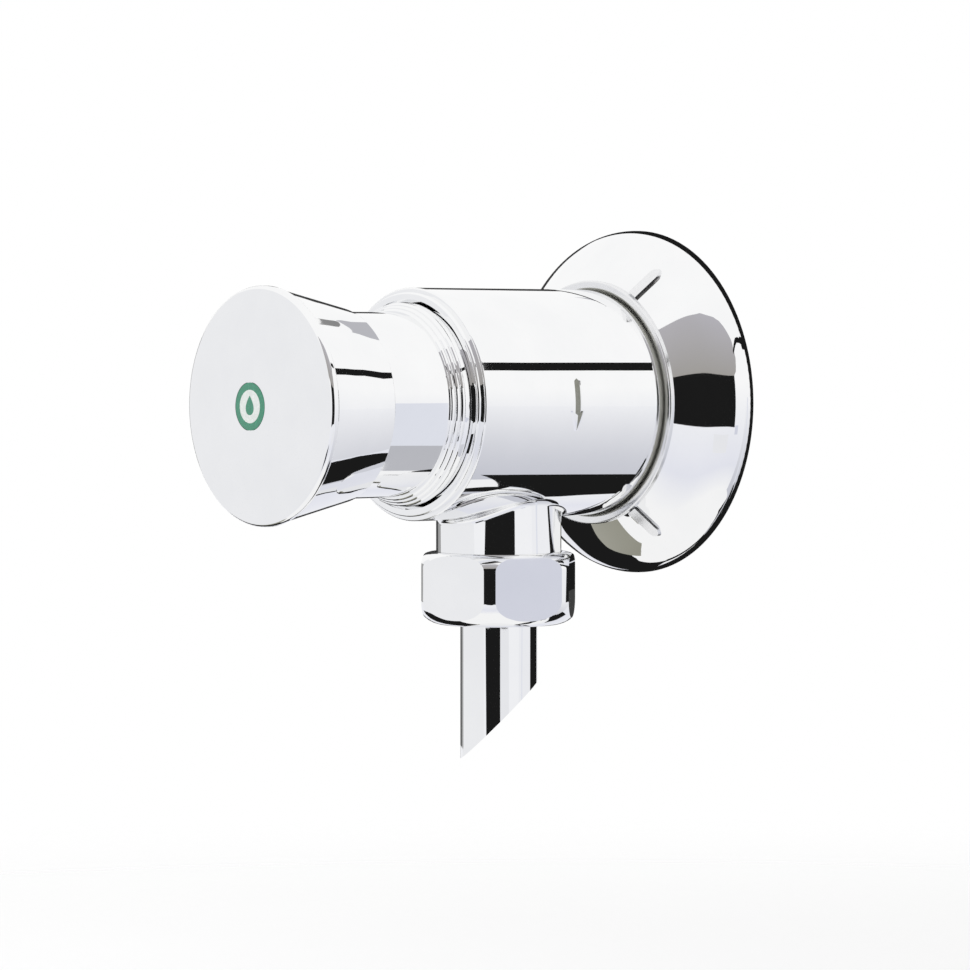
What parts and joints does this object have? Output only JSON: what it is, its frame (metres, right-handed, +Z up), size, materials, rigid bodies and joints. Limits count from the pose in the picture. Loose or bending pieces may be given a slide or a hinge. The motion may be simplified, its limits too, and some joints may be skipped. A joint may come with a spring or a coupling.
{
  "type": "push timed tap",
  "caption": "Wall-mounted self-closing push valve: flared push button on a fixed neck, cylindrical body, domed wall rose, and a downward outlet with a hexagon union nut and a cut pipe.",
  "frame": {"origin": "the body's axis where it meets the plane of the wall", "axes": "+Y along the body's axis into the wall, so the button points to -Y; +Z up, the outlet pipe points to -Z; +X to the right of someone who faces the button"},
  "size_m": [0.064, 0.1041, 0.0968],
  "materials": {
    "chrome": "polished chrome plate on brass",
    "brass": "machined",
    "stainless": "drawn",
    "rubber": "moulded",
    "acetal": "moulded",
    "badge_green": "gloss"
  },
  "bodies": {
    "valve": {"valve_body": "chrome", "inlet_strainer": "stainless", "wall_rose": "chrome", "rose_o_ring": "rubber", "cartridge_sleeve": "acetal", "cartridge_o_ring": "rubber", "stem_guide": "acetal", "stem_o_ring": "rubber", "guide_circlip": "stainless", "bonnet": "chrome", "bonnet_o_ring": "rubber", "bonnet_bush": "acetal", "return_spring": "stainless", "union_nut": "chrome", "outlet_washer": "rubber", "pipe_collar": "brass", "flush_pipe": "chrome"},
    "button": {"push_button": "chrome", "button_badge": "badge_green", "button_lock_nut": "brass", "stem": "stainless", "piston": "acetal", "piston_lip_seal": "rubber", "seal_washer": "brass", "piston_clip": "stainless", "valve_clamp_washer": "brass", "valve_washer": "rubber", "valve_holder": "brass", "valve_nut": "brass"}
  },
  "joints": [
    {"name": "button_push", "type": "slide", "parent": "valve", "child": "button", "axis": [0, 1, 0], "range_m": [0, 0.009], "stiffness_N_per_m": 1200, "springref_m": -0.015, "deforming": ["return_spring"]}
  ]
}
